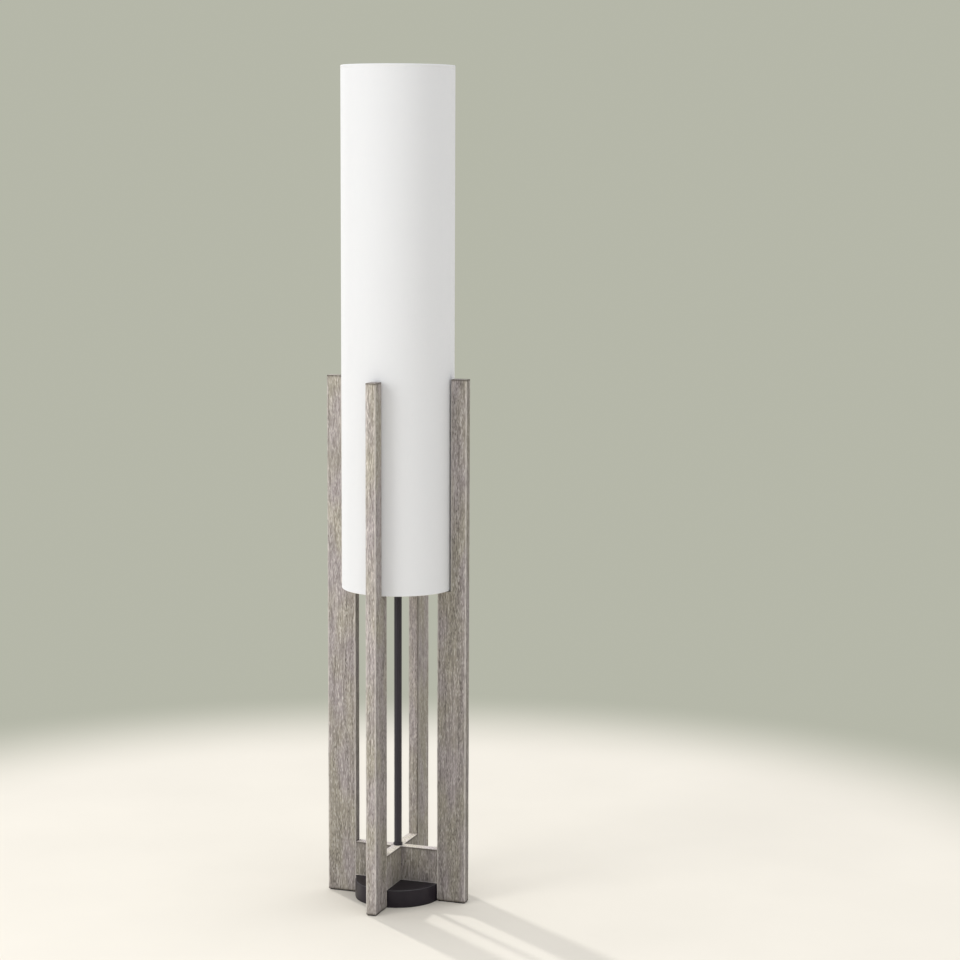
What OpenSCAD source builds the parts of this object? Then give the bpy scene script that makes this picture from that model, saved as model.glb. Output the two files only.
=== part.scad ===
// Column floor lamp: a tall hardback drum shade standing inside a cross of four notched
// wooden posts, with two halved rails, a round weighted base and a centre pole.
// Millimetres, +Z up. The origin is on the floor, on the lamp's axis.
// The posts stand on the X and Y axes, the front one on -Y.

/* [Overall] */
// Height from the floor to the shade's top rim
lamp_h = 1575; // [1500:5:1700]
// Distance across the outer faces of two opposite posts
frame_span = 280; // [270:2:310]

/* [Wooden posts] */
// Height from the floor to the top of a post
post_h = 1000; // [800:5:1150]
// Width of a post below its ledge
post_w = 57; // [50:0.5:64]
// Thickness of a post and of the rails
post_t = 20; // [16:0.5:26]
// Height of the ledges that the shade stands over
ledge_z = 600; // [500:5:700]
// Radius of the eased edges of posts and rails
edge_r = 1.2; // [0.4:0.1:2]
// Thickness of the glides under the posts, and of the base's felt
glide_t = 2; // [1:0.5:4]
// Margin of a glide inside the post's foot
glide_margin = 2; // [1:0.5:4]

/* [Rails] */
// Height of the two halved rails
rail_h = 66.5; // [50:0.5:90]
// Diameter of the dowels between rail and post
dowel_d = 8; // [6:1:10]
// Length of a dowel, half in the rail and half in the post
dowel_l = 30; // [20:2:40]
// Distance of a dowel's axis from the rail's upper or lower edge
dowel_inset = 16; // [12:1:20]

/* [Base] */
// Height of the round base's top above the floor
base_h = 34; // [28:1:50]
// Gap between the base's rim and the posts
base_gap = 1; // [0.5:0.5:4]
// Wall of the base's metal cover
cover_wall = 1.5; // [1:0.1:2.5]
// Radius of the cover's rounded top edge
cover_round = 3; // [2.5:0.5:6]
// Diameter of the hole for the cord in the inlet bushing
inlet_d = 6.4; // [5:0.2:7.4]
// Diameter of the hole that the bushing snaps into
inlet_hole_d = 9.6; // [8.8:0.2:11]
// Height of the inlet's axis above the floor
inlet_z = 11; // [10:0.5:14]
// Direction of the inlet round the base, between the back and left posts
inlet_angle = 135; // [115:5:155]

/* [Pole] */
// Outer diameter of the pole's tubes
pole_d = 14.4; // [13:0.2:18]
// Diameter of the threaded nipples that join the pole
nipple_d = 10; // [9:0.2:10.4]
// Bore of the nipples, for the wires
nipple_bore = 7; // [5:0.5:7.6]
// How far a nipple reaches into each tube
nipple_reach = 15; // [10:1:25]
// Diameter of the collar on the rails' crossing
collar_d = 17.6; // [16:0.2:24]
// Height of that collar
collar_h = 4.5; // [3:0.5:8]
// Diameter of the hole where the wires leave the pole for a socket
wire_hole_d = 5; // [3:0.5:6]

/* [Shade] */
// Outer diameter of the shade
shade_d = 212; // [196:2:236]
// Gap between the shade's bottom rim and the ledges
shade_lift_gap = 1.5; // [1:0.5:4]
// Gap between the shade and the notched face of a post
shade_side_gap = 3.5; // [1:0.25:5]
// Thickness of the fabric
fabric_t = 0.7; // [0.5:0.1:1.2]
// Thickness of the stiff backing behind the fabric
backing_t = 0.8; // [0.5:0.1:1.5]
// Diameter of the wire rings in the rims
ring_wire_d = 3.2; // [2.4:0.2:4]
// Visible height of the rolled edge outside
hem_outside = 3; // [2.4:0.2:8]
// Height of the edge's tuck inside the shade
hem_inside = 9; // [7:0.5:12]

/* [Spider and finial] */
// Depth of the spider's hub below the top rim
spider_drop = 25; // [22:1:40]
// Diameter of the spider's wire arms
arm_d = 3.2; // [2.4:0.2:3.2]
// Radius of the bend in each arm
arm_bend = 6; // [4:0.5:8]
// Diameter of the spider's hub
hub_d = 25; // [20:1:32]
// Thickness of the spider's hub
hub_t = 2; // [1.5:0.5:4]
// Diameter of the stud on top of the pole
stud_d = 6.4; // [5:0.2:8]
// Diameter of the finial's knob
finial_d = 17; // [14:0.5:20]

/* [Lights] */
// Height of the lower bracket above the shade's bottom rim
lower_light_h = 180; // [120:5:260]
// Distance from the lower bracket up to the upper one
light_step_h = 400; // [320:5:460]
// Distance from the pole's axis to a bulb's axis
light_reach = 44; // [41:0.5:48]
// Thickness of a bracket
bracket_t = 2; // [1.5:0.25:4]
// Width of a bracket
bracket_w = 18; // [16:1:24]
// Outer diameter of a socket
socket_d = 35; // [32:0.5:40]
// Height of a socket
socket_h = 46; // [42:1:52]
// Diameter of a bulb's screw cap
cap_d = 26; // [25:0.2:26.4]
// Diameter of a bulb's globe
bulb_d = 60; // [50:1:64]
// Length of a bulb from its tip to its top
bulb_l = 108; // [100:1:120]

/* [Hidden] */
$fn = 96;

// Clearances
touch_gap = 0.05;     // glued or pressed faces that are round
joint_gap = 0.1;      // dowels, laps, threads and nipples in their holes
running_gap = 0.05;   // bulb cap in its screw shell, finial on its stud
hub_gap = 0.25;       // spider's hub round the stud
ring_gap = 0.15;      // wire rings inside the backing and the hems
cut = 1;              // how far a cutting solid runs past the face it opens

// Places worked out from the driving sizes
outer_r = frame_span / 2;
inner_r = outer_r - post_w;
shade_r = shade_d / 2;
notch_r = shade_r + shade_side_gap;
rail_top = base_h + rail_h;
lap_z = base_h + rail_h / 2;
dowel_levels = [base_h + dowel_inset, rail_top - dowel_inset];
base_r = inner_r - base_gap;
shade_z0 = ledge_z + shade_lift_gap;
shade_z1 = lamp_h;
bracket_levels = [shade_z0 + lower_light_h, shade_z0 + lower_light_h + light_step_h];
bracket_turns = [180, 0];     // the lower light on the left, the upper on the right

// Base
weight_gap = 0.5;
nut_af = 14;
nut_h = 6;
nut_room = 4;                 // free height under the nut in its pocket
washer_t = 1.5;
washer_r = 13;
pocket_r = 16;
pocket_h = washer_t + nut_h + nut_room;
pocket_z = glide_t + pocket_h;
channel_w = inlet_hole_d + 2 * weight_gap;
channel_top = inlet_z + channel_w / 2;
bushing_lip = 1.8;
bushing_flange_r = inlet_hole_d / 2 + bushing_lip;
bushing_flange_t = 1.5;
bushing_body_l = 6;

// Pole
bore_d = nipple_d + 2 * joint_gap;
nipple_clear = 2;
nipple_start = glide_t + nipple_clear;
pole_z0 = rail_top + collar_h;
wire_hole_drop = 12;
seat_t = 3;
hub_z = shade_z1 - spider_drop;
seat_z = hub_z - seat_t;
arm_root_r = hub_d / 2 - arm_d;     // the arms start here, under the hub's edge
seat_margin = 0.5;
seat_r = arm_root_r - seat_margin;

// Shade, from the outside inwards
backing_r = shade_r - fabric_t - touch_gap;
backing_in_r = backing_r - backing_t;
ring_r = backing_in_r - ring_gap - ring_wire_d / 2;
hem_t = fabric_t;
hem_in_r = ring_r - ring_wire_d / 2 - ring_gap - hem_t;
hem_round = 1.8;
ring_depth = hem_t + ring_gap + ring_wire_d / 2;
arm_count = 3;
arm_start = 90;               // the first arm points to the back

// Finial
finial_foot_d = 14;
finial_foot_h = 3;
finial_neck_d = 10;
finial_knob_z = 12;
stud_l = hub_t + finial_knob_z;

// Socket and bulb, heights above the bracket's top face
socket_neck_r = 9;
socket_shoulder_z = 12;
socket_floor_z = 12;
shell_z = 16;
shell_t = 0.5;
shell_in_r = cap_d / 2 + running_gap;
shell_out_r = shell_in_r + shell_t;
shell_recess = 2;
shell_top_z = socket_h - shell_recess;
well_r = 10;
shell_lip = 1;                // how far the shell's floor reaches into the well
tip_z = 18.6;
contact_gap = 0.1;
contact_t = 0.6;
contact_w = 5;
tip_h = 2.4;
cap_z0 = tip_z + tip_h;
cap_recess = 1;
cap_z1 = socket_h - cap_recess;
cap_slope_h = 2;
cap_t = 0.5;
cap_in_r = cap_d / 2 - cap_t;
tip_r = 4.5;
cap_hole_r = 2 * tip_r;
glass_t = 1;
neck_r = cap_in_r - touch_gap;
neck_in_cap = 5;
bulb_r = bulb_d / 2;
globe_z = tip_z + bulb_l - bulb_r;
socket_thread_l = 8;
socket_nut_h = 4;
nipple_tail = 1;              // a socket nipple's end below its nut

// ---- Outlines ----

// Rectangle from corner a to corner b with corners rounded to radius r
module eased_rect(a, b, r) {
    size = b - a;
    translate(a + [r, 0]) square([size[0] - 2 * r, size[1]]);
    translate(a + [0, r]) square([size[0], size[1] - 2 * r]);
    for (x = [a[0] + r, b[0] - r], y = [a[1] + r, b[1] - r]) translate([x, y]) circle(r);
}

// Half section of a flat can: its outer top edge is rounded
module can_section(r, z0, z1, round) {
    translate([0, z0]) square([r - round, z1 - z0]);
    translate([0, z0]) square([r, z1 - z0 - round]);
    translate([r - round, z1 - round]) circle(round);
}

// Half section of a shade's rolled edge, standing on z = 0 and open upwards
module hem_section() {
    outer_w = shade_r - hem_in_r;
    difference() {
        translate([hem_in_r, 0]) hem_trough(outer_w, hem_round);
        translate([hem_in_r + hem_t, hem_t])
            hem_trough(outer_w - 2 * hem_t, hem_round - hem_t);
        translate([hem_in_r + outer_w / 2, hem_outside]) square([outer_w, hem_inside]);
    }
}

// Upright with a half-round bottom on each corner, as tall as the edge's tuck
module hem_trough(w, round) {
    translate([0, round]) square([w, hem_inside - round]);
    translate([round, 0]) square([w - 2 * round, hem_inside]);
    for (x = [round, w - round]) translate([x, round]) circle(round);
}

// Tube between two heights
module tube(r_out, r_in, z0, z1) {
    difference() {
        translate([0, 0, z0]) cylinder(h = z1 - z0, r = r_out);
        translate([0, 0, z0 - cut]) cylinder(h = z1 - z0 + 2 * cut, r = r_in);
    }
}

// Hexagon nut with a round bore
module hex_nut(z0, h, af, bore) {
    difference() {
        translate([0, 0, z0]) cylinder(h = h, d = af / cos(30), $fn = 6);
        translate([0, 0, z0 - cut]) cylinder(h = h + 2 * cut, d = bore);
    }
}

// ---- Wooden frame ----

// Runs its children at one of the four sides: 0 right, 1 back, 2 left, 3 front
module side(i) rotate([0, 0, 90 * i]) children();

module dowel_at(z, l, d) {
    translate([inner_r - l / 2, 0, z]) rotate([0, 90, 0]) cylinder(h = l, d = d);
}

module post() {
    half_t = post_t / 2;
    difference() {
        intersection() {
            // seen from above: a wide foot up to the ledge, a narrow upper stretch
            union() {
                translate([0, 0, glide_t]) linear_extrude(ledge_z - glide_t)
                    eased_rect([inner_r, -half_t], [outer_r, half_t], edge_r);
                translate([0, 0, glide_t]) linear_extrude(post_h - glide_t)
                    eased_rect([notch_r, -half_t], [outer_r, half_t], edge_r);
            }
            // seen from its wide face
            rotate([90, 0, 0]) translate([0, 0, -post_t]) linear_extrude(2 * post_t) union() {
                eased_rect([inner_r, glide_t], [outer_r, ledge_z], edge_r);
                eased_rect([notch_r, glide_t], [outer_r, post_h], edge_r);
            }
            // seen from its edge
            rotate([90, 0, 90]) linear_extrude(outer_r + cut)
                eased_rect([-half_t, glide_t], [half_t, post_h], edge_r);
        }
        for (z = dowel_levels) dowel_at(z, dowel_l + 2 * cut, dowel_d + 2 * joint_gap);
    }
}

// A rail along X; its lap is cut from the top or from the bottom
module rail(lap_from_top) {
    half_t = post_t / 2;
    difference() {
        rotate([90, 0, 90]) translate([0, 0, -inner_r]) linear_extrude(2 * inner_r)
            eased_rect([-half_t, base_h], [half_t, rail_top], edge_r);
        translate([-half_t - joint_gap, -post_t, lap_from_top ? lap_z : base_h - cut])
            cube([post_t + 2 * joint_gap, 2 * post_t, rail_h / 2 + cut]);
        translate([0, 0, base_h - cut]) cylinder(h = rail_h + 2 * cut, d = bore_d);
        for (i = [0, 2], z = dowel_levels)
            side(i) dowel_at(z, dowel_l + 2 * cut, dowel_d + 2 * joint_gap);
    }
}

module wood_post(i) color([0.62, 0.58, 0.54]) side(i) post();

module rail_side() color([0.60, 0.56, 0.52]) rail(true);

module rail_depth() color([0.60, 0.56, 0.52]) side(1) rail(false);

module rail_dowels() color([0.80, 0.68, 0.50])
    for (i = [0:3], z = dowel_levels) side(i) dowel_at(z, dowel_l, dowel_d);

module post_glides() color([0.12, 0.11, 0.11]) for (i = [0:3]) side(i)
    linear_extrude(glide_t)
        eased_rect([inner_r + glide_margin, -post_t / 2 + glide_margin],
            [outer_r - glide_margin, post_t / 2 - glide_margin], edge_r);

// ---- Base ----

// Runs its children on the inlet's axis, with +X pointing out of the base
module at_inlet() rotate([0, 0, inlet_angle]) translate([0, 0, inlet_z]) children();

module base_cover() color([0.10, 0.10, 0.11]) difference() {
    rotate_extrude() difference() {
        can_section(base_r, glide_t, base_h, cover_round);
        can_section(base_r - cover_wall, glide_t - cut, base_h - cover_wall,
            cover_round - cover_wall);
    }
    translate([0, 0, base_h - cover_wall - cut])
        cylinder(h = cover_wall + 2 * cut, d = bore_d);
    at_inlet() translate([base_r - 2 * cover_wall, 0, 0]) rotate([0, 90, 0])
        cylinder(h = 3 * cover_wall, d = inlet_hole_d);
}

module base_weight() color([0.33, 0.33, 0.34]) difference() {
    weight_r = base_r - cover_wall - weight_gap;
    rotate_extrude() can_section(weight_r, glide_t, base_h - cover_wall, cover_round);
    translate([0, 0, glide_t]) cylinder(h = base_h, d = bore_d);
    // pocket for the nut, and the cord's channel out to the bushing
    translate([0, 0, glide_t - cut]) cylinder(h = pocket_h + cut, r = pocket_r);
    rotate([0, 0, inlet_angle]) translate([0, -channel_w / 2, glide_t - cut])
        cube([base_r, channel_w, channel_top - glide_t + cut]);
}

module base_felt() color([0.10, 0.10, 0.10]) cylinder(h = glide_t, r = base_r - weight_gap);

module inlet_bushing() color([0.06, 0.06, 0.06]) at_inlet() rotate([0, 90, 0]) difference() {
    union() {
        translate([0, 0, base_r]) cylinder(h = bushing_flange_t, r = bushing_flange_r);
        translate([0, 0, base_r - bushing_body_l])
            cylinder(h = bushing_body_l, d = inlet_hole_d - 2 * joint_gap);
    }
    translate([0, 0, base_r - bushing_body_l - cut])
        cylinder(h = bushing_body_l + bushing_flange_t + 2 * cut, d = inlet_d);
}

module base_nipple() color([0.72, 0.70, 0.62])
    tube(nipple_d / 2, nipple_bore / 2, nipple_start, pole_z0 + nipple_reach);

module base_washer() color([0.70, 0.70, 0.70])
    tube(washer_r, bore_d / 2, pocket_z - washer_t, pocket_z);

module base_nut() color([0.70, 0.70, 0.70])
    hex_nut(pocket_z - washer_t - nut_h, nut_h, nut_af, bore_d);

// ---- Pole ----

module pole_collar() color([0.16, 0.15, 0.16]) difference() {
    collar_chamfer = 0.8;
    union() {
        translate([0, 0, rail_top]) cylinder(h = collar_h - collar_chamfer, d = collar_d);
        translate([0, 0, rail_top + collar_h - collar_chamfer])
            cylinder(h = collar_chamfer, d1 = collar_d, d2 = collar_d - 2 * collar_chamfer);
    }
    translate([0, 0, rail_top - cut]) cylinder(h = collar_h + 2 * cut, d = bore_d);
}

// One tube of the pole; a wire hole near its top faces the light on the bracket above
module pole_tube(z0, z1, hole_turn) color([0.16, 0.15, 0.16]) difference() {
    tube(pole_d / 2, bore_d / 2, z0, z1);
    if (hole_turn != undef)
        rotate([0, 0, hole_turn]) translate([0, 0, z1 - nipple_reach - wire_hole_drop])
            rotate([0, 90, 0]) cylinder(h = pole_d, d = wire_hole_d);
}

module pole_lower() pole_tube(pole_z0, bracket_levels[0], bracket_turns[0]);

module pole_middle()
    pole_tube(bracket_levels[0] + bracket_t, bracket_levels[1], bracket_turns[1]);

module pole_upper() pole_tube(bracket_levels[1] + bracket_t, seat_z, undef);

module joint_nipples() color([0.72, 0.70, 0.62]) for (z = bracket_levels)
    tube(nipple_d / 2, nipple_bore / 2, z - nipple_reach, z + bracket_t + nipple_reach);

// The shade's spider rests on this seat; its stud takes the finial
module pole_seat() color([0.20, 0.19, 0.19]) union() {
    translate([0, 0, seat_z]) cylinder(h = seat_t, r = seat_r);
    translate([0, 0, seat_z - nipple_reach]) cylinder(h = nipple_reach, d = nipple_d);
    translate([0, 0, hub_z]) cylinder(h = stud_l, d = stud_d);
}

// ---- Lights ----

// Runs its children on a light's axis, with z = 0 on the bracket's top face
module at_light(i) rotate([0, 0, bracket_turns[i]])
    translate([light_reach, 0, bracket_levels[i] + bracket_t]) children();

module bracket(i) color([0.55, 0.55, 0.56]) rotate([0, 0, bracket_turns[i]])
    translate([0, 0, bracket_levels[i]]) linear_extrude(bracket_t) difference() {
        union() {
            for (x = [0, light_reach]) translate([x, 0]) circle(d = bracket_w);
            translate([0, -bracket_w / 2]) square([light_reach, bracket_w]);
        }
        for (x = [0, light_reach]) translate([x, 0]) circle(d = bore_d);
    }

module socket_nipples() color([0.72, 0.70, 0.62]) for (i = [0, 1]) at_light(i)
    tube(nipple_d / 2, nipple_bore / 2, -bracket_t - socket_nut_h - nipple_tail,
        socket_thread_l - joint_gap);

module socket_nuts() color([0.72, 0.70, 0.62]) for (i = [0, 1]) at_light(i)
    hex_nut(-bracket_t - socket_nut_h, socket_nut_h, nut_af, bore_d);

// Moulded socket: a neck, a sloping shoulder and a straight barrel with a bead round its mouth
module socket_body(i) color([0.07, 0.07, 0.07]) at_light(i) difference() {
    bead = 1;
    barrel_r = socket_d / 2 - bead;
    union() {
        cylinder(h = socket_shoulder_z, r1 = socket_neck_r, r2 = barrel_r);
        translate([0, 0, socket_shoulder_z])
            cylinder(h = socket_h - socket_shoulder_z, r = barrel_r);
        translate([0, 0, socket_h - 4 * bead]) cylinder(h = 3 * bead, r = socket_d / 2);
    }
    translate([0, 0, -cut]) cylinder(h = socket_thread_l + cut, d = bore_d);
    cylinder(h = shell_z, d = nipple_bore);
    translate([0, 0, socket_floor_z]) cylinder(h = shell_z, r = well_r);
    translate([0, 0, shell_z]) cylinder(h = socket_h, r = shell_out_r + touch_gap);
}

module screw_shell(i) color([0.80, 0.66, 0.32]) at_light(i) difference() {
    translate([0, 0, shell_z]) cylinder(h = shell_top_z - shell_z, r = shell_out_r);
    translate([0, 0, shell_z + shell_t]) cylinder(h = socket_h, r = shell_in_r);
    translate([0, 0, shell_z - cut]) cylinder(h = socket_h, r = well_r - shell_lip);
}

// Bent leaf that carries current to the bulb's tip
module contact(i) color([0.80, 0.66, 0.32]) at_light(i)
    rotate([90, 0, 0]) translate([0, 0, -contact_w / 2]) linear_extrude(contact_w) {
        foot_x = 4.5;
        foot_end = well_r - 1.5;
        foot_top = socket_floor_z + contact_t;
        bend_x = 2;
        leaf_end = -3;
        leaf_top = tip_z - contact_gap;
        leaf_under = leaf_top - contact_t;
        polygon([[foot_end, socket_floor_z], [foot_end, foot_top], [foot_x, foot_top],
            [bend_x, leaf_top], [leaf_end, leaf_top], [leaf_end, leaf_under],
            [bend_x - contact_t, leaf_under], [foot_x - contact_t, socket_floor_z]]);
    }

// Radius of the bulb's neck: it swells from r0 to r1 as u goes from 0 to 1
function swell(r0, r1, u) = r0 + (r1 - r0) * u * u * (3 - 2 * u);

// Half outline of the glass: straight in the cap, a swelling neck, then a quarter circle
function glass_outline(r0, r1) = concat(
    [[r0, cap_z1 - neck_in_cap]],
    [for (u = [0:0.1:1]) [swell(r0, r1, u), cap_z1 + (globe_z - cap_z1) * u]],
    [for (a = [9:9:90]) [r1 * cos(a), globe_z + r1 * sin(a)]]);

function reversed(list) = [for (i = [len(list) - 1:-1:0]) list[i]];

module bulb_glass(i) color([0.95, 0.95, 0.92]) at_light(i) rotate_extrude()
    polygon(concat(glass_outline(neck_r, bulb_r),
        reversed(glass_outline(neck_r - glass_t, bulb_r - glass_t))));

module bulb_cap(i) color([0.78, 0.78, 0.76]) at_light(i) rotate_extrude()
    polygon([[cap_d / 2, cap_z0 + cap_slope_h], [cap_d / 2, cap_z1], [cap_in_r, cap_z1],
        [cap_in_r, cap_z0 + cap_slope_h], [cap_hole_r, cap_z0 + cap_t], [cap_hole_r, cap_z0]]);

// Black glass cone and the metal button at the cap's end
module bulb_tip(i) color([0.10, 0.10, 0.12]) at_light(i) {
    button_h = 0.8;
    translate([0, 0, tip_z + button_h])
        cylinder(h = tip_h - button_h + cap_t, r1 = tip_r, r2 = cap_hole_r - touch_gap);
    translate([0, 0, tip_z]) cylinder(h = button_h, r = tip_r);
}

// ---- Shade ----

module shade_fabric() color([0.95, 0.95, 0.93])
    tube(shade_r, shade_r - fabric_t, shade_z0 + hem_outside + touch_gap,
        shade_z1 - hem_outside - touch_gap);

module shade_backing() color([0.97, 0.97, 0.96])
    tube(backing_r, backing_in_r, shade_z0 + hem_round + touch_gap,
        shade_z1 - hem_round - touch_gap);

module hem_bottom() color([0.95, 0.95, 0.93])
    translate([0, 0, shade_z0]) rotate_extrude() hem_section();

module hem_top() color([0.95, 0.95, 0.93])
    translate([0, 0, shade_z1]) mirror([0, 0, 1]) rotate_extrude() hem_section();

module wire_ring(z) color([0.85, 0.85, 0.85])
    translate([0, 0, z]) rotate_extrude() translate([ring_r, 0]) circle(d = ring_wire_d);

module ring_top() wire_ring(shade_z1 - ring_depth);

module ring_bottom() wire_ring(shade_z0 + ring_depth);

// Three bent wires from the top ring down and in to a flat hub
module shade_spider() color([0.85, 0.85, 0.85]) {
    hub_mid = hub_z + hub_t / 2;
    leg_top = shade_z1 - ring_depth - ring_wire_d / 2;
    difference() {
        union() {
            translate([0, 0, hub_z]) cylinder(h = hub_t, d = hub_d);
            for (i = [0:arm_count - 1]) rotate([0, 0, arm_start + i * 360 / arm_count]) {
                translate([ring_r, 0, hub_mid + arm_bend])
                    cylinder(h = leg_top - hub_mid - arm_bend, d = arm_d);
                translate([ring_r - arm_bend, 0, hub_mid + arm_bend]) rotate([90, 90, 0])
                    rotate_extrude(angle = 90) translate([arm_bend, 0]) circle(d = arm_d);
                translate([arm_root_r, 0, hub_mid]) rotate([0, 90, 0])
                    cylinder(h = ring_r - arm_bend - arm_root_r, d = arm_d);
            }
        }
        translate([0, 0, hub_z - cut]) cylinder(h = hub_t + 2 * cut, d = stud_d + 2 * hub_gap);
    }
}

module finial() color([0.14, 0.13, 0.13]) translate([0, 0, hub_z + hub_t]) difference() {
    union() {
        cylinder(h = finial_foot_h, d1 = finial_foot_d, d2 = finial_neck_d);
        cylinder(h = finial_knob_z, d = finial_neck_d);
        translate([0, 0, finial_knob_z]) sphere(d = finial_d);
    }
    translate([0, 0, -cut]) cylinder(h = finial_knob_z + 2 * cut, d = stud_d + 2 * running_gap);
}

wood_post(3);  // post_front
wood_post(0);  // post_right
wood_post(1);  // post_back
wood_post(2);  // post_left
rail_side();
rail_depth();
rail_dowels();
post_glides();
base_cover();
base_weight();
base_felt();
inlet_bushing();
base_nipple();
base_washer();
base_nut();
pole_collar();
pole_lower();
pole_middle();
pole_upper();
joint_nipples();
pole_seat();
bracket(0);  // bracket_lower
bracket(1);  // bracket_upper
socket_nipples();
socket_nuts();
socket_body(0);  // socket_lower
socket_body(1);  // socket_upper
screw_shell(0);  // screw_shell_lower
screw_shell(1);  // screw_shell_upper
contact(0);  // contact_lower
contact(1);  // contact_upper
shade_fabric();
shade_backing();
hem_top();
hem_bottom();
ring_top();
ring_bottom();
shade_spider();
finial();
bulb_glass(0);  // bulb_glass_lower
bulb_cap(0);  // bulb_cap_lower
bulb_tip(0);  // bulb_tip_lower
bulb_glass(1);  // bulb_glass_upper
bulb_cap(1);  // bulb_cap_upper
bulb_tip(1);  // bulb_tip_upper
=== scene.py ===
import math
import bmesh
import bpy
import numpy as np
from mathutils import Matrix, Vector


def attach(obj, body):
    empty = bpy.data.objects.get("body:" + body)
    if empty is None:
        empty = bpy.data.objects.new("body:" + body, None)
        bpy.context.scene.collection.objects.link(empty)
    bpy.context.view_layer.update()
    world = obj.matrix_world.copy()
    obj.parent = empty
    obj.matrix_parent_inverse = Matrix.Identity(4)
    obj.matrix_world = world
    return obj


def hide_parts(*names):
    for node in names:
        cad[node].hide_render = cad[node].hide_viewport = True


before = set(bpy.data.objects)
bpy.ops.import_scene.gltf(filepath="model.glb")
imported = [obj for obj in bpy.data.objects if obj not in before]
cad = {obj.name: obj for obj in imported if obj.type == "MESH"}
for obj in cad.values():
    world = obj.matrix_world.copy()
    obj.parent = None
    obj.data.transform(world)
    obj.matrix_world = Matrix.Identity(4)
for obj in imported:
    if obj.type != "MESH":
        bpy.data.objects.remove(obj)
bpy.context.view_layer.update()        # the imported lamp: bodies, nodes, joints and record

mm = 0.001
print("frame loaded,", len(cad), "solids")

viewpoint = {
    "place": (1.6626, -4.2998, 1.4193),
    "turn": 0.3355,      # radians to the left of +Y
    "down": 0.1323,      # radians below level
    "roll": 0.0043,
    "lens": 92.69,       # mm, for a frame as wide as sensor
    "sensor": 36,
    "seesTo": 60,        # metres
}


# Forward is +Y turned left by turn and tipped by down; right is level and square to it; up is
# square to both. Right and up then turn by roll about forward.
def makeCamera(view):
    turn, down, roll = view["turn"], view["down"], view["roll"]
    right = Vector((math.cos(turn), math.sin(turn), 0))
    forward = Vector((-math.sin(turn) * math.cos(down), math.cos(turn) * math.cos(down),
                      -math.sin(down)))
    up = right.cross(forward)
    rolledRight = math.cos(roll) * right + math.sin(roll) * up
    rolledUp = math.cos(roll) * up - math.sin(roll) * right
    lens = bpy.data.cameras.new("lampCamera")
    lens.sensor_width = view["sensor"]
    lens.lens = view["lens"]
    lens.clip_end = view["seesTo"]
    camera = bpy.data.objects.new("lampCamera", lens)
    camera.matrix_world = Matrix((
        (rolledRight.x, rolledUp.x, -forward.x, view["place"][0]),
        (rolledRight.y, rolledUp.y, -forward.y, view["place"][1]),
        (rolledRight.z, rolledUp.z, -forward.z, view["place"][2]),
        (0, 0, 0, 1)))
    bpy.context.scene.collection.objects.link(camera)
    bpy.context.scene.camera = camera


makeCamera(viewpoint)
bpy.context.scene.view_settings.view_transform = "Standard"
print("camera placed")


# Adds a node; inputs holds a value or a socket for each named or numbered input
def put(tree, kind, inputs=None, **settings):
    node = tree.nodes.new("ShaderNode" + kind)
    for key, value in settings.items():
        setattr(node, key, value)
    for key, value in (inputs or {}).items():
        if isinstance(value, bpy.types.NodeSocket):
            tree.links.new(value, node.inputs[key])
        else:
            node.inputs[key].default_value = value
    return node


def calc(tree, operation, a, b=0.0):
    return put(tree, "Math", {0: a, 1: b}, operation=operation).outputs[0]


def minus(tree, a, b):
    return calc(tree, "SUBTRACT", a, b)


def times(tree, a, b):
    return calc(tree, "MULTIPLY", a, b)


def plus(tree, a, b):
    return calc(tree, "ADD", a, b)


def blendColor(tree, factor, a, b, mode="MIX"):
    node = put(tree, "Mix", {0: factor, 6: a, 7: b}, data_type="RGBA", blend_type=mode)
    return node.outputs[2]


# Goes from toLow to toHigh as value rises from low to high, and stays there beyond them
def rise(tree, value, low, high, toLow=0.0, toHigh=1.0):
    return put(tree, "MapRange", {"Value": value, "From Min": low, "From Max": high,
                                  "To Min": toLow, "To Max": toHigh}).outputs[0]


midNoise = (0.3, 0.7)        # most of a noise's values lie between these


def noise(tree, vector, scale, detail=2.0):
    return put(tree, "TexNoise", {"Vector": vector, "Scale": scale,
                                  "Detail": detail}).outputs["Fac"]


# The same point measured with its own number of cells a metre along each axis
def stretched(tree, vector, cells):
    return put(tree, "VectorMath", {0: vector, 1: cells}, operation="MULTIPLY").outputs[0]


def newGroup(name, inputs, outputs):
    tree = bpy.data.node_groups.new(name, "ShaderNodeTree")
    for label, kind, value in inputs:
        entry = tree.interface.new_socket(name=label, in_out="INPUT",
                                          socket_type="NodeSocket" + kind)
        if value is not None:
            entry.default_value = value
    for label in outputs:
        tree.interface.new_socket(name=label, in_out="OUTPUT", socket_type="NodeSocketFloat")
    return tree, tree.nodes.new("NodeGroupInput"), tree.nodes.new("NodeGroupOutput")


def useGroup(tree, group, inputs):
    return put(tree, "Group", inputs, node_tree=group).outputs


def giveOut(tree, out, values):
    for label, value in values.items():
        tree.links.new(value, out.inputs[label])


grainNoise = {       # cells a metre of each noise: across the board, through it, along the grain
    "drift": (16, 16, 3.2), "broad": (40, 40, 5), "coarse": (400, 400, 17),
    "fine": (780, 780, 55), "dash": (880, 880, 160), "tint": (30, 30, 9),
}
grainMasks = {       # the noise values between which each mask goes from none to full
    "coarse": (0.36, 0.60), "fine": (0.38, 0.58), "pores": (0.30, 0.42), "tint": (0.38, 0.62),
    "washDash": (0.52, 0.64), "washFine": (0.46, 0.60),
}
grainShares = {
    "early": 0.45,            # of a ring's width
    "fine": 0.55,             # of the streaks; the coarse noise makes the rest
    "ring": 0.55,             # of the tone; the broad noise makes the rest
    "latePores": 0.35,        # of the pores stay in the late wood
    "streakHeight": 0.8,      # a streak's height beside a pore's depth
}


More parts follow.
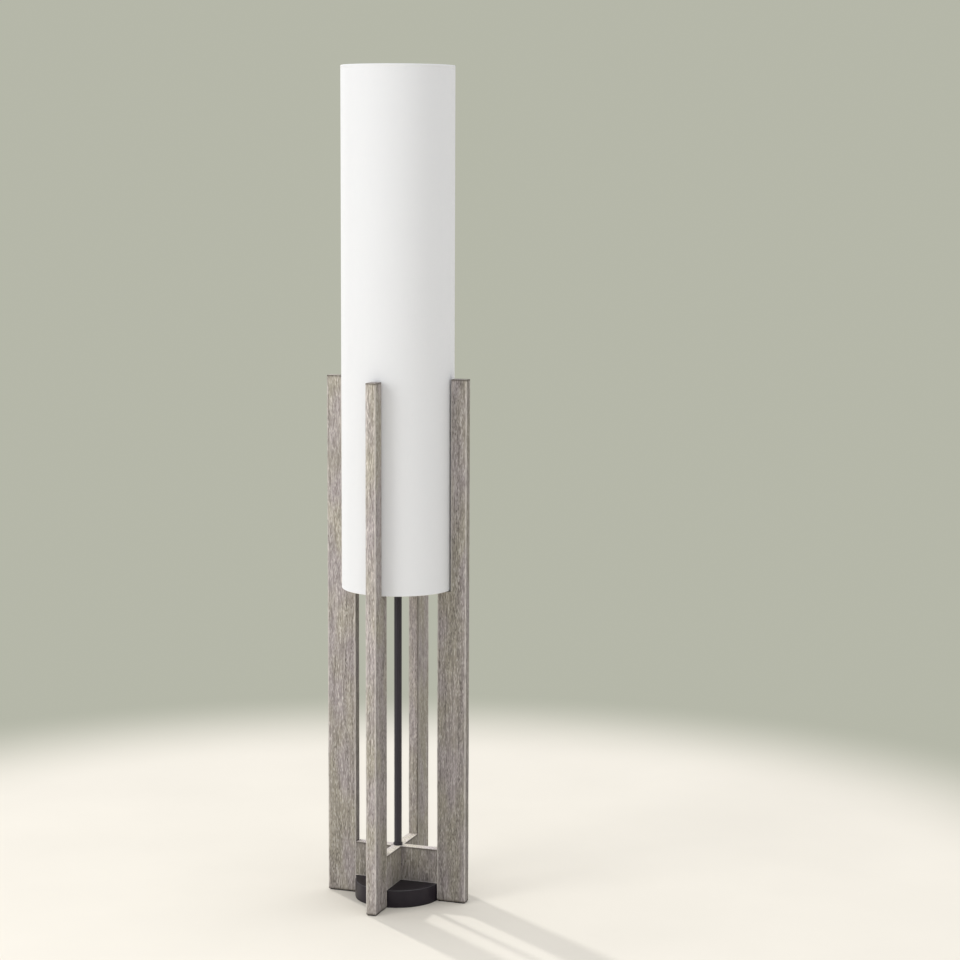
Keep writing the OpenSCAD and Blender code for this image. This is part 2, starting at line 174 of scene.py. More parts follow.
# Brushed wood in board coordinates: X across the wide face, Y through it, Z along the grain.
# Growth rings are a saw wave of the distance from a pith line, on a point pushed about by slow
# noise. Streaks mix two noises drawn out along Z, and pores are short dashes, most of them in
# the early wood just after a ring line.
def brushedGrainGroup():
    tree, given, out = newGroup("brushedGrain", [
        ("Vector", "Vector", None), ("Ring Width", "Float", 0.006), ("Drift", "Float", 0.012),
        ("Pith X", "Float", 0.01), ("Pith Y", "Float", -0.06)],
        ["Tone", "Streaks", "Pores", "Wash", "Tint", "Height"])

    def drawn(vector, kind, detail=2.0):
        return noise(tree, stretched(tree, vector, grainNoise[kind]), 1.0, detail)

    point, masks, shares = given.outputs["Vector"], grainMasks, grainShares
    slow = put(tree, "TexNoise", {"Vector": stretched(tree, point, grainNoise["drift"]),
                                  "Scale": 1.0, "Detail": 2.0}).outputs["Color"]
    push = put(tree, "VectorMath", {0: slow, 1: (0.5, 0.5, 0.5)}, operation="SUBTRACT").outputs[0]
    push = put(tree, "VectorMath", {0: push, "Scale": given.outputs["Drift"]},
               operation="SCALE").outputs[0]
    moved = put(tree, "VectorMath", {0: point, 1: push}, operation="ADD").outputs[0]
    split = put(tree, "SeparateXYZ", {0: moved}).outputs
    x = minus(tree, split[0], given.outputs["Pith X"])
    y = minus(tree, split[1], given.outputs["Pith Y"])
    away = calc(tree, "SQRT", plus(tree, times(tree, x, x), times(tree, y, y)))
    ring = calc(tree, "FRACT", calc(tree, "DIVIDE", away, given.outputs["Ring Width"]))
    early = rise(tree, ring, 0.0, shares["early"], 1.0, 0.0)
    broad, coarse = drawn(moved, "broad"), drawn(moved, "coarse")
    fine, dash = drawn(moved, "fine"), drawn(moved, "dash", 0.0)
    streaks = plus(tree, times(tree, rise(tree, coarse, *masks["coarse"]), 1 - shares["fine"]),
                   times(tree, rise(tree, fine, *masks["fine"]), shares["fine"]))
    pores = times(tree, rise(tree, dash, *masks["pores"], 1.0, 0.0),
                  plus(tree, times(tree, early, 1 - shares["latePores"]), shares["latePores"]))
    tone = plus(tree, times(tree, rise(tree, broad, *midNoise), 1 - shares["ring"]),
                times(tree, minus(tree, 1.0, early), shares["ring"]))
    wash = times(tree, rise(tree, dash, *masks["washDash"]),
                 rise(tree, fine, *masks["washFine"]))
    tint = rise(tree, drawn(moved, "tint", 1.0), *masks["tint"])
    height = minus(tree, times(tree, streaks, shares["streakHeight"]), pores)
    giveOut(tree, out, {"Tone": tone, "Streaks": streaks, "Pores": pores, "Wash": wash,
                        "Tint": tint, "Height": height})
    return tree


slubs = {
    "cells": ((1600, 45, 1), (45, 1600, 1)),      # cells a metre of cloth, both ways
    "mask": (0.56, 0.72),
}


# Plain weave from a cloth's own UV, in metres: two crossing sets of round threads. Each set rises
# as the size of a sine across its thread, and they swap over and under from cell to cell. Slubs
# are long thin noises along both sets.
def weaveGroup():
    tree, given, out = newGroup("plainWeave", [
        ("Vector", "Vector", None), ("Thread", "Float", 0.0005), ("Slub", "Float", 0.35)],
        ["Threads", "Slubs", "Height"])
    point = given.outputs["Vector"]
    split = put(tree, "SeparateXYZ", {0: point}).outputs
    u = calc(tree, "DIVIDE", split[0], given.outputs["Thread"])
    v = calc(tree, "DIVIDE", split[1], given.outputs["Thread"])
    acrossU = calc(tree, "ABSOLUTE", calc(tree, "SINE", times(tree, u, math.pi)))
    acrossV = calc(tree, "ABSOLUTE", calc(tree, "SINE", times(tree, v, math.pi)))
    cell = plus(tree, calc(tree, "FLOOR", u), calc(tree, "FLOOR", v))
    swap = calc(tree, "ABSOLUTE", calc(tree, "MODULO", cell, 2.0))
    over = plus(tree, times(tree, acrossU, swap), times(tree, acrossV, minus(tree, 1.0, swap)))
    along, across = [rise(tree, noise(tree, stretched(tree, point, cells), 1.0), *slubs["mask"])
                     for cells in slubs["cells"]]
    thick = calc(tree, "MAXIMUM", along, across)
    height = plus(tree, over, times(tree, thick, given.outputs["Slub"]))
    giveOut(tree, out, {"Threads": over, "Slubs": thick, "Height": height})
    return tree


specks = {"cells": 0.6, "mask": (0.70, 0.76)}      # cells for each grain of the finish


# Small unevenness of cast, coated, drawn and moulded surfaces: slow clouding, a fine grain
# and scattered specks, all noises of the point at the given size.
def finishGroup():
    tree, given, out = newGroup("unevenFinish", [
        ("Vector", "Vector", None), ("Grain Size", "Float", 0.001), ("Cloud Size", "Float", 0.03)],
        ["Grain", "Cloud", "Specks"])
    point = given.outputs["Vector"]
    grains, clouds = [calc(tree, "DIVIDE", 1.0, given.outputs[size])
                      for size in ("Grain Size", "Cloud Size")]
    spots = calc(tree, "DIVIDE", specks["cells"], given.outputs["Grain Size"])
    giveOut(tree, out, {"Grain": noise(tree, point, grains),
                        "Cloud": noise(tree, point, clouds, 3.0),
                        "Specks": rise(tree, noise(tree, point, spots, 0.0), *specks["mask"])})
    return tree


brushedGrain = brushedGrainGroup()
plainWeave = weaveGroup()
unevenFinish = finishGroup()


def newMaterial(name, constants):
    material = bpy.data.materials.new(name)
    material.use_nodes = True
    tree = material.node_tree
    shader = tree.nodes["Principled BSDF"]
    for key, value in constants.items():
        shader.inputs[key].default_value = value
    return material, tree, shader


def bump(tree, shader, height, depth, strength):
    node = put(tree, "Bump", {"Height": height, "Distance": depth, "Strength": strength})
    tree.links.new(node.outputs["Normal"], shader.inputs["Normal"])


greyWood = {
    "dark": (0.095, 0.078, 0.066, 1),       # open grain and pores
    "body": (0.450, 0.402, 0.360, 1),
    "light": (0.640, 0.598, 0.555, 1),      # whitewash left on the high grain
    "lavender": (0.440, 0.392, 0.398, 1),
    "olive": (0.435, 0.402, 0.322, 1),
    "stain": (0.085, 0.070, 0.055, 1),      # gathered along the ends and the rails' upper edges
    # how much of each colour shows where its own mask is full
    "bodyShare": 0.25, "streakShare": 0.63, "washShare": 0.75, "poreShare": 0.85,
    "wearAndGlintShare": 0.85, "stainShare": 0.92,
    # the second pair below is painted shade: the wood darker towards the floor, lighter near the
    # top
    "tone": (0.86, 1.12), "paintedShadeByHeight": (0.90, 1.06),      # darker towards the floor
    "endGrain": 0.95, "ringWidth": 0.0065, "brokenCells": (420, 420, 60),
    "wearAndGlintBreaks": (0.34, 0.56, 0.30, 1.0), "stainBreaks": (0.30, 0.46, 0.70, 1.0),
    "relief": 0.00025, "bump": 0.6, "roughness": (0.55, 0.75),
}


# The point is turned and shifted so that each board has its own part of the grain. Attributes of
# the board's mesh say where its arrises are light, as wear and painted highlight, where it is
# stained and where it is cut across; another makes each narrow side lighter or darker, partly for
# its wash and partly as painted light and shade. Shade scales the whole board, partly for its own
# tone and partly as painted shadow, and the colour is darkened towards the floor as painted shade.
def woodMaterial(name, turn, shift, pith, shade):
    w = greyWood
    material, tree, shader = newMaterial(name, {"Specular IOR Level": 0.35})

    def attribute(label):
        return put(tree, "Attribute", attribute_name=label).outputs["Fac"]

    still = put(tree, "TexCoord").outputs["Object"]
    point = put(tree, "Mapping", {"Vector": still, "Location": shift,
                                  "Rotation": (0, 0, math.radians(turn))}).outputs[0]
    grain = useGroup(tree, brushedGrain, {
        "Vector": point, "Ring Width": w["ringWidth"],
        "Pith X": pith[0] + shift[0], "Pith Y": pith[1] + shift[1]})
    color = blendColor(tree, grain["Tint"], w["lavender"], w["olive"])
    color = blendColor(tree, w["bodyShare"], color, w["body"])
    gaps = times(tree, minus(tree, 1.0, grain["Streaks"]), w["streakShare"])
    color = blendColor(tree, gaps, color, w["dark"])
    color = blendColor(tree, times(tree, grain["Wash"], w["washShare"]), color, w["light"])
    color = blendColor(tree, times(tree, grain["Pores"], w["poreShare"]), color, w["dark"])
    # the board's level: partly its own tone, partly painted shadow where the lampshade shades a
    # post
    level = rise(tree, grain["Tone"], 0.0, 1.0, w["tone"][0] * shade, w["tone"][1] * shade)
    # narrow sides lighter or darker: partly the wash, partly painted light and shade
    level = times(tree, level, attribute("washAndLightLevel"))
    # painted shade: darker towards the floor, a little lighter near the top
    up = put(tree, "SeparateXYZ", {0: still}).outputs[2]
    level = times(tree, level, rise(tree, up, 0.0, 1.0, *w["paintedShadeByHeight"]))
    level = times(tree, level, rise(tree, attribute("endGrain"), 0.0, 1.0, 1.0, w["endGrain"]))
    gray = put(tree, "CombineXYZ", {0: level, 1: level, 2: level}).outputs[0]
    color = blendColor(tree, 1.0, color, gray, "MULTIPLY")
    broken = noise(tree, stretched(tree, point, w["brokenCells"]), 1.0)
    # light arrises: partly wear, partly a painted highlight along the edges
    wearAndGlint = times(tree, attribute("edge"), rise(tree, broken, *w["wearAndGlintBreaks"]))
    color = blendColor(tree, times(tree, wearAndGlint, w["wearAndGlintShare"]), color, w["light"])
    stained = times(tree, attribute("stain"), rise(tree, broken, *w["stainBreaks"]))
    color = blendColor(tree, times(tree, stained, w["stainShare"]), color, w["stain"])
    tree.links.new(color, shader.inputs["Base Color"])
    smooth, rough = w["roughness"]
    tree.links.new(rise(tree, grain["Streaks"], 0.0, 1.0, rough, smooth),
                   shader.inputs["Roughness"])
    bump(tree, shader, grain["Height"], w["relief"], w["bump"])
    return material


whiteCloth = {
    "color": (0.815, 0.820, 0.825, 1), "shadow": (0.71, 0.715, 0.72, 1),
    "slubColor": (0.86, 0.86, 0.84, 1), "slubShare": 0.35,
    "shadowShare": 0.55, "shadowUpTo": 0.6,       # between the threads
    "thread": 0.00052, "slub": 0.5, "relief": 0.00008, "bump": 0.5,
    "roughness": 0.86, "slubSmoother": 0.12,
}


def clothMaterial():
    w = whiteCloth
    material, tree, shader = newMaterial("whiteWovenCloth", {"Specular IOR Level": 0.25})
    uv = put(tree, "UVMap", uv_map="cloth").outputs["UV"]
    weave = useGroup(tree, plainWeave, {"Vector": uv, "Thread": w["thread"], "Slub": w["slub"]})
    between = rise(tree, weave["Threads"], 0.0, w["shadowUpTo"], w["shadowShare"], 0.0)
    color = blendColor(tree, between, w["color"], w["shadow"])
    color = blendColor(tree, times(tree, weave["Slubs"], w["slubShare"]), color, w["slubColor"])
    tree.links.new(color, shader.inputs["Base Color"])
    tree.links.new(rise(tree, weave["Slubs"], 0.0, 1.0, w["roughness"],
                        w["roughness"] - w["slubSmoother"]), shader.inputs["Roughness"])
    bump(tree, shader, weave["Height"], w["relief"], w["bump"])
    return material


# One row for each coated, cast, moulded or plated finish: two colours that the clouding mixes,
# the metal share, the lowest and highest roughness, grain and cloud sizes and relief depth in mm
finishes = {
    "blackPowderCoat": ((0.009, 0.005, 0.011), (0.014, 0.009, 0.017),
                        0.0, 0.27, 0.36, 0.9, 40, 0.012),
    "blackPoleCoat": ((0.018, 0.0135, 0.0215), (0.025, 0.019, 0.030),
                      0.0, 0.36, 0.44, 0.9, 40, 0.012),
    "blackFelt": ((0.018, 0.017, 0.016), (0.040, 0.038, 0.036), 0.0, 0.90, 1.00, 0.5, 12, 0.25),
    "castWeight": ((0.10, 0.10, 0.105), (0.17, 0.165, 0.16), 0.4, 0.55, 0.80, 1.4, 18, 0.12),
    "blackNylon": ((0.016, 0.016, 0.017), (0.026, 0.026, 0.027), 0.0, 0.38, 0.55, 0.6, 15, 0.02),
    "zincSteel": ((0.52, 0.53, 0.55), (0.66, 0.66, 0.66), 1.0, 0.26, 0.46, 2.2, 9, 0.02),
    "blackPhenolic": ((0.013, 0.012, 0.012), (0.024, 0.022, 0.021),
                      0.0, 0.22, 0.38, 0.8, 20, 0.015),
    "brassSheet": ((0.72, 0.50, 0.20), (0.84, 0.64, 0.30), 1.0, 0.22, 0.40, 0.8, 10, 0.01),
    "whiteStyrene": ((0.80, 0.80, 0.78), (0.86, 0.86, 0.84), 0.0, 0.38, 0.52, 1.5, 60, 0.02),
    "whiteWire": ((0.76, 0.76, 0.75), (0.84, 0.84, 0.83), 0.0, 0.28, 0.42, 0.7, 20, 0.02),
    "softWhiteGlass": ((0.82, 0.82, 0.80), (0.88, 0.88, 0.86), 0.0, 0.16, 0.26, 1.2, 30, 0.006),
    "bareAluminium": ((0.70, 0.70, 0.70), (0.80, 0.80, 0.80), 1.0, 0.30, 0.48, 0.6, 8, 0.015),
    "blackGlass": ((0.012, 0.012, 0.016), (0.022, 0.022, 0.028), 0.0, 0.08, 0.16, 0.8, 10, 0.004),
    "paleDowel": ((0.56, 0.40, 0.24), (0.68, 0.52, 0.34), 0.0, 0.55, 0.72, 0.9, 14, 0.06),
}
coats = {"specular": 0.5, "cloudShare": 0.6, "grainShare": 0.4, "speckShare": 0.12,
         "speckShade": 0.7, "bump": 0.8}
# the middle of the base's rounded top edge, where a pale line is painted as a highlight
paintedRimHighlight = {"radius": 81.1 * mm, "height": 33.1 * mm, "near": 0.4 * mm, "far": 1.3 * mm,
           "pale": (0.085, 0.080, 0.085, 1), "least": 0.6, "specular": 0.35}


# 1 on the rim's circle and 0 away from it: off is the distance from that circle, the length of
# (distance from Z - radius, height above the rim's)
def rimGlintMask(tree, point, rim):
    split = put(tree, "SeparateXYZ", {0: point}).outputs
    around = put(tree, "CombineXYZ", {0: split[0], 1: split[1]}).outputs[0]
    around = put(tree, "VectorMath", {0: around}, operation="LENGTH").outputs["Value"]
    off = put(tree, "CombineXYZ", {0: minus(tree, around, rim["radius"]),
                                   1: minus(tree, split[2], rim["height"])}).outputs[0]
    off = put(tree, "VectorMath", {0: off}, operation="LENGTH").outputs["Value"]
    return rise(tree, off, rim["near"], rim["far"], 1.0, 0.0)


def finishMaterial(name, rim=None):
    low, high, metal, smooth, rough, grainMm, cloudMm, reliefMm = finishes[name]
    specular = (rim or coats)["specular"]
    material, tree, shader = newMaterial(name, {"Metallic": metal, "Specular IOR Level": specular})
    point = put(tree, "TexCoord").outputs["Object"]
    spots = useGroup(tree, unevenFinish, {"Vector": point, "Grain Size": grainMm * mm,
                                          "Cloud Size": cloudMm * mm})
    share = plus(tree, rise(tree, spots["Cloud"], *midNoise, 0.0, coats["cloudShare"]),
                 rise(tree, spots["Grain"], *midNoise, 0.0, coats["grainShare"]))
    color = blendColor(tree, share, (*low, 1), (*high, 1))
    color = blendColor(tree, times(tree, spots["Specks"], coats["speckShare"]), color,
                       (*[c * coats["speckShade"] for c in low], 1))
    # a painted highlight along the middle of the rim, broken by the grain
    if rim:
        broken = rise(tree, spots["Grain"], *midNoise, rim["least"], 1.0)
        pale = times(tree, rimGlintMask(tree, point, rim), broken)
        color = blendColor(tree, pale, color, rim["pale"])
    tree.links.new(color, shader.inputs["Base Color"])
    tree.links.new(rise(tree, share, 0.0, 1.0, smooth, rough), shader.inputs["Roughness"])
    bump(tree, shader, spots["Grain"], reliefMm * mm, coats["bump"])
    return material


made = {name: finishMaterial(name) for name in finishes}
# the base's coat with the painted highlight on its rim
made["rimHighlightCoat"] = finishMaterial("blackPowderCoat", paintedRimHighlight)
made["cloth"] = clothMaterial()
print("materials made")


# Lattice noise: each whole-number corner has a fixed value from an integer hash of its place,
# and a point blends its eight corners with the weight w*w*(3 - 2w) along each axis.
def latticeNoise(points, seed):
    cell = np.floor(points).astype(np.int64)
    part = points - cell
    part = part * part * (3 - 2 * part)
    total = np.zeros(points.shape[:-1])
    for corner in np.ndindex(2, 2, 2):
        at = cell + np.array(corner)
        key = at[..., 0] * 73856093 ^ at[..., 1] * 19349663 ^ at[..., 2] * 83492791
        key = ((key ^ seed * 40503) * 1274126177) & 0xFFFFFFFF
        key = ((key ^ (key >> 15)) * 2246822519) & 0xFFFFFFFF
        weight = np.prod(np.where(np.array(corner), part, 1 - part), axis=-1)
        total += weight * ((key >> 8) & 0xFFFF) / 65535
    return total


# Puts a grid of points, rows by columns, into a mesh of quads. Columns close round on
# themselves; rows close too when loop is set. Points that fall together are merged, which
# closes poles and end caps. Values kept at the points become attributes, and uv a map.
def gridPiece(name, points, material, loop=False, values=None, uv=None):
    rows, cols = points.shape[:2]
    i = np.arange(rows if loop else rows - 1)[:, None]
    j = np.arange(cols)[None, :]
    down, side = (i + 1) % rows, (j + 1) % cols
    quads = np.stack([i * cols + j, i * cols + side, down * cols + side, down * cols + j], -1)
    quads = quads.reshape(-1, 4)
    mesh = bpy.data.meshes.new(name)
    mesh.vertices.add(rows * cols)
    mesh.vertices.foreach_set("co", points.astype(np.float32).ravel())
    mesh.loops.add(quads.size)
    mesh.loops.foreach_set("vertex_index", quads.astype(np.int32).ravel())
    mesh.polygons.add(len(quads))
    mesh.polygons.foreach_set("loop_start", np.arange(0, quads.size, 4, dtype=np.int32))
    mesh.update(calc_edges=True)
    for label, field in (values or {}).items():
        layer = mesh.attributes.new(label, "FLOAT", "POINT")
        full = np.broadcast_to(field, (rows, cols)).astype(np.float32)
        layer.data.foreach_set("value", full.ravel())
    if uv is not None:
        corners = np.stack([uv[:-1, :-1], uv[:-1, 1:], uv[1:, 1:], uv[1:, :-1]], 2)
        corners = corners.astype(np.float32)
        mesh.uv_layers.new(name="cloth").data.foreach_set("uv", corners.ravel())
    work = bmesh.new()
    work.from_mesh(mesh)
    bmesh.ops.remove_doubles(work, verts=work.verts, dist=0.002 * mm)
    bmesh.ops.recalc_face_normals(work, faces=work.faces)
    work.to_mesh(mesh)
    work.free()
    mesh.shade_smooth()
    mesh.materials.append(material)
    piece = bpy.data.objects.new(name, mesh)
    bpy.context.scene.collection.objects.link(piece)
    return piece


def place(piece, body, slot, *nodes):
    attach(piece, body)
    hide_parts(*nodes)


boardNoise = {       # sizes in metres: across the board, through it, along the grain
    "wander": 0.035, "brushed": (0.0026, 0.0026, 0.055), "ripple": (0.009, 0.009, 0.140),
    "brushedShift": 40, "rippleShift": 90, "rippleSeed": 7,
    "radius": (0.75, 1.5),                     # the edge radius wanders between these times edge
    "grooveFrom": 0.62, "grooveRun": 0.34,     # noise below this is a groove, full after the run
    "grooveShare": 0.7,                        # of the relief; the ripple makes the rest
}


# The ring of a board: corner sides cx and cy, outward direction nx and ny, and inner, which is 0
# at the ends of each flat side and 1 in its middle. Corners are quarter circles.
def boardRing(board):
    ring = []
    for corner, start in (((-1, -1), 180), ((1, -1), 270), ((1, 1), 0), ((-1, 1), 90)):
        turn = np.radians(start + np.linspace(0, 90, board["arcSteps"] + 1))
        still = np.ones(len(turn))
        ring.append(np.stack([corner[0] * still, corner[1] * still, np.cos(turn), np.sin(turn),
                              0 * still], -1))
        steps = board["wideSteps"] if start in (180, 0) else board["narrowSteps"]
        t = np.linspace(-1, 1, steps + 1)[1:-1]
        t = t if start in (180, 270) else -t
        face = {180: (t, -1, 0, -1), 270: (1, t, 1, 0),
                0: (t, 1, 0, 1), 90: (-1, t, -1, 0)}[start]
        ring.append(np.stack([np.broadcast_to(v, t.shape) for v in face] + [1 - np.abs(t)], -1))
    return np.concatenate(ring).T[:, None, :]


# A board between two paths, from rows that step along it. Each row has a point, an inset
# direction and an outward direction on path A and on path B, a tilt for the rounded ends and
# a shrink for the end caps. Across a row the ring runs round the board: the core rectangle,
# inset by the edge radius r, plus r times the outward direction. The radius wanders with
# noise, and brushing lowers the surface by relief times a streaky noise. Attributes keep where
# the arrises are light, partly as wear and partly as a painted highlight, where the board is
# stained or cut across the grain, and how pale its narrow sides are, partly for the wash and
# partly as painted light and shade. The light arrises and stained parts fade as
# exp(-distance / width) from the long edges, and the stain at the posts' ends as
# exp(-(distance / width) to the fourth).
def boardPiece(name, rows, board, toWorld, material):
    half, size, seed = board["thick"] / 2, boardNoise, board["seed"]
    cx, cy, nx, ny, inner = boardRing(board)
    wideFace = np.abs(ny) > 0.999
    a, b = rows["a"], rows["b"]
    tilt, shrink = rows["tilt"][:, None], rows["shrink"][:, None]
    middle = (a["along"] + b["along"])[:, None] / 2
    corners = np.broadcast_arrays(middle / size["wander"], cx * 3 + 11, cy * 3 + 5)
    least, most = size["radius"]
    r = board["edge"] * (least + (most - least) * latticeNoise(np.stack(corners, -1), seed))
    share = (cx + 1) / 2

    def column(key):
        return a[key][:, None] * (1 - share) + b[key][:, None] * share

    across = column("across") + r * column("insetAcross")
    along = column("along") + r * column("insetAlong")
    outA, outB = np.maximum(-nx, 0), np.maximum(nx, 0)
    nAcross = outA * a["outAcross"][:, None] + outB * b["outAcross"][:, None]
    nAlong = outA * a["outAlong"][:, None] + outB * b["outAlong"][:, None]
    nAlong = np.cos(tilt) * nAlong + np.sin(tilt)
    nAcross = np.cos(tilt) * nAcross
    nThick = np.cos(tilt) * ny
    across = across - cx * (1 - shrink) * (half - r) + r * nAcross
    along = along + r * nAlong
    thick = cy * (half - r) * shrink + r * nThick
    local = np.stack([across, thick, along], -1)
    push = np.stack([nAcross, nThick, nAlong], -1)
    push /= np.maximum(np.linalg.norm(push, axis=-1, keepdims=True), 1e-9)
    grain = local if board["grainAlong"] else local[..., ::-1]
    brushed = latticeNoise(grain / size["brushed"] + size["brushedShift"], seed)
    ripple = latticeNoise(grain / size["ripple"] + size["rippleShift"], seed + size["rippleSeed"])
    groove = np.clip((size["grooveFrom"] - brushed) / size["grooveRun"], 0, 1)
    lower = size["grooveShare"] * groove + (1 - size["grooveShare"]) * ripple
    notCap = np.abs(tilt) < 1.5                     # radians: a flat end cap is tilted by 1.57
    local = local - push * (board["relief"] * lower * notCap)[..., None]

    # distances along the surface from the nearest long edge and from the nearer end
    width = np.where(wideFace, (b["across"] - a["across"])[:, None] / 2, half)
    nearEdge = np.exp(-inner * np.abs(width) / board["stainWidth"])
    toEnd = np.minimum(local[..., 2] - local[..., 2].min(), local[..., 2].max() - local[..., 2])
    arris = 4 * push[..., 0] ** 2 * push[..., 1] ** 2
    # the light arris mark: partly wear, partly a painted highlight
    wearAndGlint = np.maximum(arris, np.exp(-inner * np.abs(width) / board["wearAndGlintWidth"]))
    upright = push[..., 2] ** 2
    if board["stained"] == "ends":
        stain = np.exp(-(toEnd / board["stainWidth"]) ** 4) * (upright < 0.5)
        stain = np.maximum(stain, 4 * upright * (1 - upright))
    else:
        stain = np.maximum(arris, nearEdge * wideFace) * (cx > 0)
    if board.get("darkArris"):                      # a seam of stain down one inner arris
        seam = np.maximum(arris, nearEdge * (1 - wideFace))
        stain = np.maximum(stain, seam * (cx < 0) * (cy * board["darkArris"] > 0))
    # each narrow side's level: partly its wash, partly painted light and shade
    side = np.where(nx < 0, board["sides"][0], board["sides"][1])
    return gridPiece(name, toWorld(local), material, values={
        "edge": wearAndGlint * (1 - stain), "stain": stain,
        "endGrain": upright if board["grainAlong"] else 0 * wearAndGlint,
        "washAndLightLevel": 1 + (side - 1) * np.abs(nx) ** 4})


# Rows of one path: a list of (along, across, insetAlong, insetAcross, outAlong, outAcross)
def pathArrays(steps):
    keys = ("along", "across", "insetAlong", "insetAcross", "outAlong", "outAcross")
    table = np.array(steps, float)
    return {key: table[:, k] for k, key in enumerate(keys)}


# Adds the rounded and capped ends to rows of a path: the tilt swings from the side to the end
# over a quarter turn, then the ring shrinks to a line.
def withEnds(a, b, endSteps, capSteps):
    tilts = np.radians(np.linspace(90, 0, endSteps + 1))[:-1]
    shrinks = np.linspace(0, 1, capSteps + 1)[:-1]
    count = len(a["along"])
    edgeRows = capSteps + endSteps

    def grow(path):
        return {key: np.pad(column, edgeRows, mode="edge") for key, column in path.items()}

    upright = np.full(capSteps, math.pi / 2)
    tilt = np.concatenate([-upright, -tilts, np.zeros(count), tilts[::-1], upright])
    shrink = np.concatenate([shrinks, np.ones(endSteps + count + endSteps), shrinks[::-1]])
    a, b = grow(a), grow(b)
    for path in (a, b):
        path["insetAlong"][:edgeRows + 1] = 1
        path["insetAlong"][-edgeRows - 1:] = -1
    return {"a": a, "b": b, "tilt": tilt, "shrink": shrink}


posts = {
    "thick": 20 * mm, "inner": 83 * mm, "outer": 140 * mm, "notch": 109.5 * mm,
    "foot": 2 * mm, "ledge": 600 * mm, "top": 1000 * mm,
    "edge": 0.8 * mm, "relief": 0.28 * mm, "grainAlong": True, "stained": "ends",
    "wearAndGlintWidth": 0.9 * mm, "stainWidth": 2.6 * mm,
    "wideSteps": 32, "narrowSteps": 12, "arcSteps": 3, "endSteps": 3, "capSteps": 4,
    "rowStep": 5 * mm, "ledgeRows": 12, "near": 60 * mm,
    "endRow": 2.5 * mm,          # a row this far from each end keeps the dark line there sharp
    "notchRow": 0.02 * mm, "aboveLedge": 2 * mm,         # the first rows up the notch
}


# A post seen from its wide face: path B is the straight outer edge, and path A the inner edge,
# which rounds over at the ledge, runs across it and goes up the notch. Near the ledge the rows
# of path A fan out, so path B spaces its rows evenly there.
def postRows(p):
    inner, notch, ledge, outer, top = p["inner"], p["notch"], p["ledge"], p["outer"], p["top"]
    low = np.arange(p["foot"], ledge - p["edge"] * 2, p["rowStep"])
    low = np.insert(low, 1, p["foot"] + p["endRow"])
    high = np.linspace(ledge + p["aboveLedge"], top, int((top - ledge) / p["rowStep"]))
    high = np.insert(high, -1, top - p["endRow"])
    a = [(z, inner, 0, 1, 0, -1) for z in low]
    a += [(ledge, inner, -1, 1, math.sin(turn), -math.cos(turn))
          for turn in np.radians((0, 30, 60, 90))]
    a += [(ledge, x, -1, 0, 1, 0)
          for x in np.linspace(inner + 2 * p["edge"], notch, p["ledgeRows"])]
    a.append((ledge + p["notchRow"], notch, 0, 1, 0, -1))
    a += [(z, notch, 0, 1, 0, -1) for z in high]
    a = pathArrays(a)
    alongB = a["along"].copy()
    near = (alongB > ledge - p["near"]) & (alongB < ledge + p["near"])
    alongB[near] = np.linspace(alongB[near][0], alongB[near][-1], near.sum())
    b = pathArrays([(z, outer, 0, -1, 0, 1) for z in alongB])
    return withEnds(a, b, p["endSteps"], p["capSteps"])


# Turns points about Z by quarter turns: 0 right, 1 back, 2 left, 3 front
def quarterTurns(points, count):
    x, y, z = np.moveaxis(points, -1, 0)
    for _ in range(count):
        x, y = -y, x
    return np.stack([x, y, z], -1)


# Each post's two narrow-side numbers tell how pale its inner and its outer narrow side are: partly
# the wash, partly painted light and shade, with sides that face the key lamp lighter and the left
# post's inner side darker as if shaded. Shade is partly the board's own tone and partly painted
# shadow: the right post is darkest, as if the lampshade kept the key lamp off it.
postList = {
    "post_right": {"turns": 0, "seed": 11, "shift": (0.37, 0.11, 0.0),
                   "pith": (0.118, -0.062), "shade": 0.825, "sides": (0.9, 0.86)},
    "post_back": {"turns": 1, "seed": 23, "shift": (1.31, 0.42, 0.7),
                  "pith": (0.105, 0.070), "shade": 0.91, "sides": (1.38, 1.1), "darkArris": -1},
    "post_left": {"turns": 2, "seed": 37, "shift": (2.23, 0.73, 1.3),
                  "pith": (0.122, 0.058), "shade": 1.02, "sides": (0.52, 1.1)},
    "post_front": {"turns": 3, "seed": 51, "shift": (3.17, 0.97, 2.1),
                   "pith": (0.100, -0.055), "shade": 0.925, "sides": (0.9, 1.27)},
}


def boardWood(node, own):
    return woodMaterial("greyWood_" + node, -90 * own["turns"], own["shift"], own["pith"],
                        own["shade"])


for node, own in postList.items():
    piece = boardPiece(node.replace("post_", "") + "Post", postRows(posts), {**posts, **own},
                       lambda points, n=own["turns"]: quarterTurns(points, n),
                       boardWood(node, own))
    place(piece, "stand", "gray_wood", node)
print("posts made")

rails = {
    "thick": 20 * mm, "low": 34 * mm, "high": 100.5 * mm, "lap": 67.25 * mm, "end": 83 * mm,
    "lapHalf": 10.1 * mm, "edge": 0.8 * mm, "relief": 0.28 * mm, "grainAlong": False,
    # the rails' upper sides are far lighter: partly the wash, partly painted light from above
    "stained": "top", "wearAndGlintWidth": 0.7 * mm, "stainWidth": 2.8 * mm, "sides": (1.0, 2.4),
    "wideSteps": 38, "narrowSteps": 12, "arcSteps": 3, "endSteps": 2, "capSteps": 3,
    "runRows": 34, "wallRows": 12, "lapRows": 9,
    "runStop": 1.2 * mm,                  # the plain run stops this far from the lap
    "fan": (1.1 * mm, 0.1 * mm),          # the straight path spreads the wall's rows over this
}


